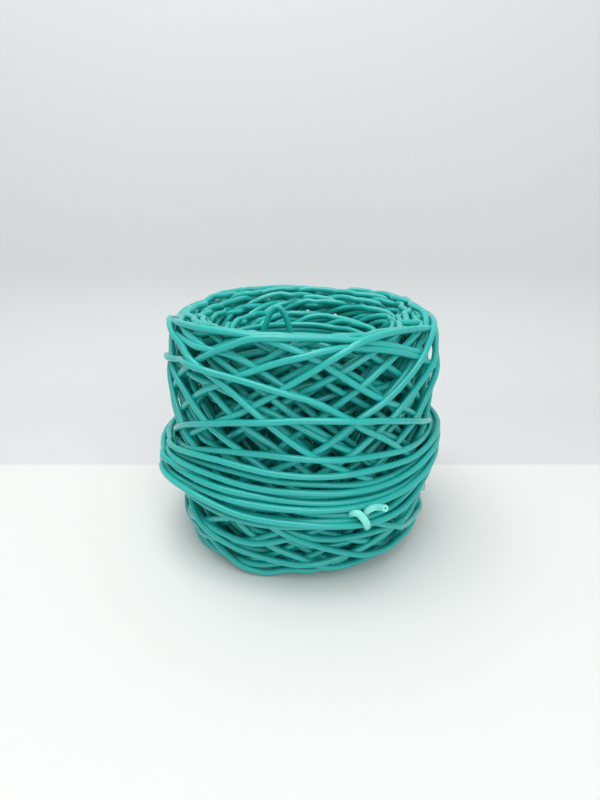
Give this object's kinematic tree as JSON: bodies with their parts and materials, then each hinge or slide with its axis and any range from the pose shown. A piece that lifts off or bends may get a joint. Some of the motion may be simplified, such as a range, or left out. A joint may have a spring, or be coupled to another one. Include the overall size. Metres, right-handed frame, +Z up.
{
  "type": "coil of plastic tie tube",
  "caption": "Cross-wound coil of green hollow PVC tie tube, bound round its waist with its own last turns and hitched, the inner end standing up as a loop in the central hole.",
  "frame": {"origin": "on the surface the coil stands on, under the middle of its outline; the coil's own upright axis passes x 1.8 mm, y -3.8 mm", "axes": "+Z up along the coil's axis; -Y is the front, where the free end is hitched; +X is the right side seen from the front"},
  "size_m": [0.1826, 0.1717, 0.1402],
  "materials": {
    "tube_green": "glossy soft PVC, a little translucent",
    "core_green": "glossy soft PVC in the shade of the outer turns"
  },
  "bodies": {
    "root": {"wound_core": "core_green", "cross_winding": "tube_green", "waist_binding": "tube_green", "free_end": "tube_green", "centre_loop": "tube_green"}
  },
  "joints": []
}
